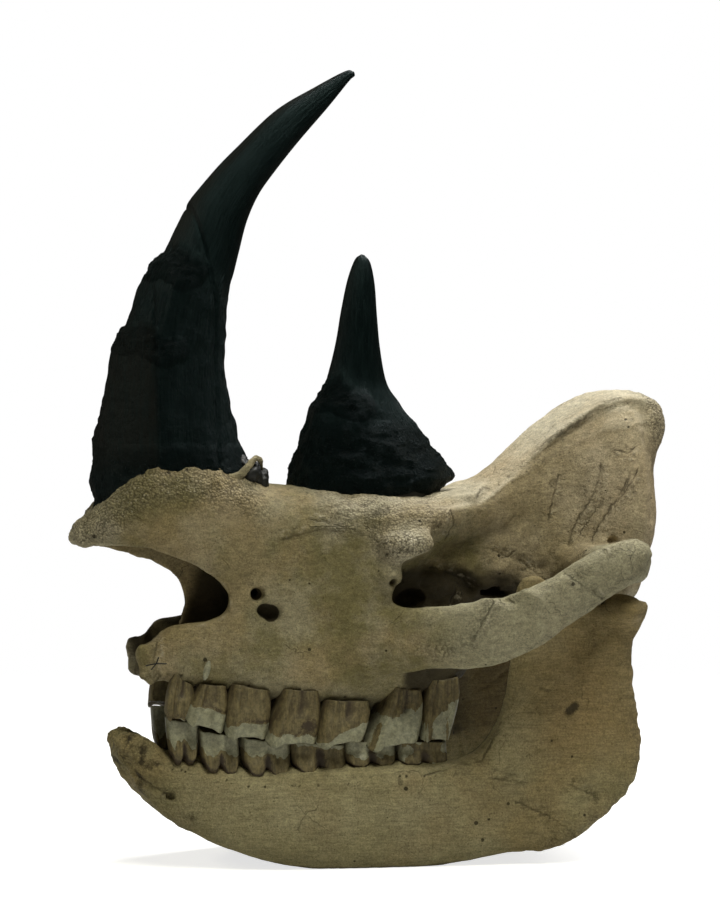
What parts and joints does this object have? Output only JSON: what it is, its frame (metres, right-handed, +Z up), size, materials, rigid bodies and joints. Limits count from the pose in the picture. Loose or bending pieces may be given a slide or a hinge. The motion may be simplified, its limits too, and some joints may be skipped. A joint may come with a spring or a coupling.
{
  "type": "rhinoceros skull with two horns",
  "caption": "Life-size rhinoceros skull with its lower jaw closed under it and two dark horns, standing on the jaw, as a museum shows.",
  "frame": {"origin": "under the middle of the skull's length and width, at the level of the surface that the lower jaw rests on", "axes": "+Z up, from the lower jaw to the tip of the front horn, the longest extent; +X from the nose to the back of the skull; -Y to the animal's left, across the cheek arches, the shortest extent"},
  "size_m": [0.5618, 0.3338, 0.751],
  "materials": {
    "bone": "dry matte bone with pits, grooves and stains",
    "jaw_bone": "dry matte bone, darker and browner",
    "horn": "near-black fibrous horn, satin, polished towards the tips"
  },
  "bodies": {
    "root": {"nasal_bones": "bone", "upper_jaw": "bone", "braincase": "bone", "cheek_arch_left": "bone", "cheek_arch_right": "bone", "premaxilla_left": "bone", "premaxilla_right": "bone", "mandible": "jaw_bone", "front_horn": "horn", "rear_horn": "horn"}
  },
  "joints": []
}
